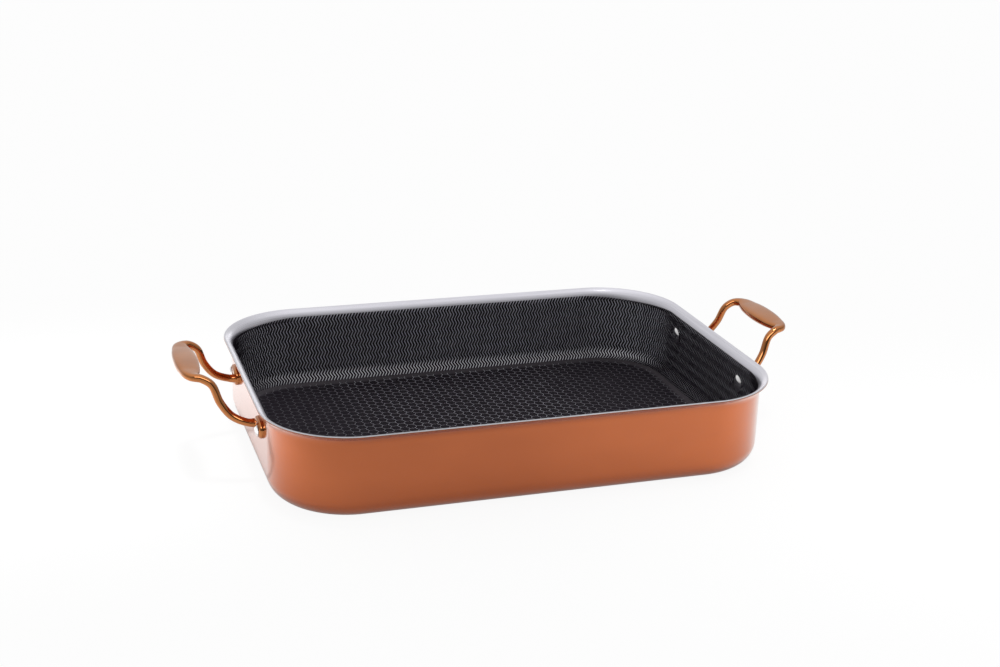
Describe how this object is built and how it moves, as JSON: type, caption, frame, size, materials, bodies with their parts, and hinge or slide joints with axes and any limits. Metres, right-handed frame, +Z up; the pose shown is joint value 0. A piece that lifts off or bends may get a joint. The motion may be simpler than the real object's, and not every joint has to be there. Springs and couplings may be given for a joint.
{
  "type": "roasting pan",
  "caption": "Rectangular roasting pan with rounded corners, flared pouring lip, copper-clad outside, patterned dark non-stick inside and a riveted cast loop handle at each end.",
  "frame": {"origin": "on the table under the middle of the pan's base", "axes": "+X along the length towards the right handle, +Y from the front wall to the back wall, +Z up"},
  "size_m": [0.499, 0.286, 0.0849],
  "materials": {
    "copper": "satin copper",
    "aluminium": "rolled, seen only at the cut edge of the lip",
    "steel": "satin stainless steel",
    "non_stick": "dark satin with a fine steel-coloured honeycomb and zigzag pattern",
    "cast_copper": "polished copper",
    "rivet_steel": "polished stainless steel"
  },
  "bodies": {
    "root": {"outer_shell": "copper", "aluminium_core": "aluminium", "steel_liner": "steel", "nonstick_coating": "non_stick", "left_handle": "cast_copper", "right_handle": "cast_copper", "rivet_left_front": "rivet_steel", "rivet_left_rear": "rivet_steel", "rivet_right_front": "rivet_steel", "rivet_right_rear": "rivet_steel"}
  },
  "joints": []
}
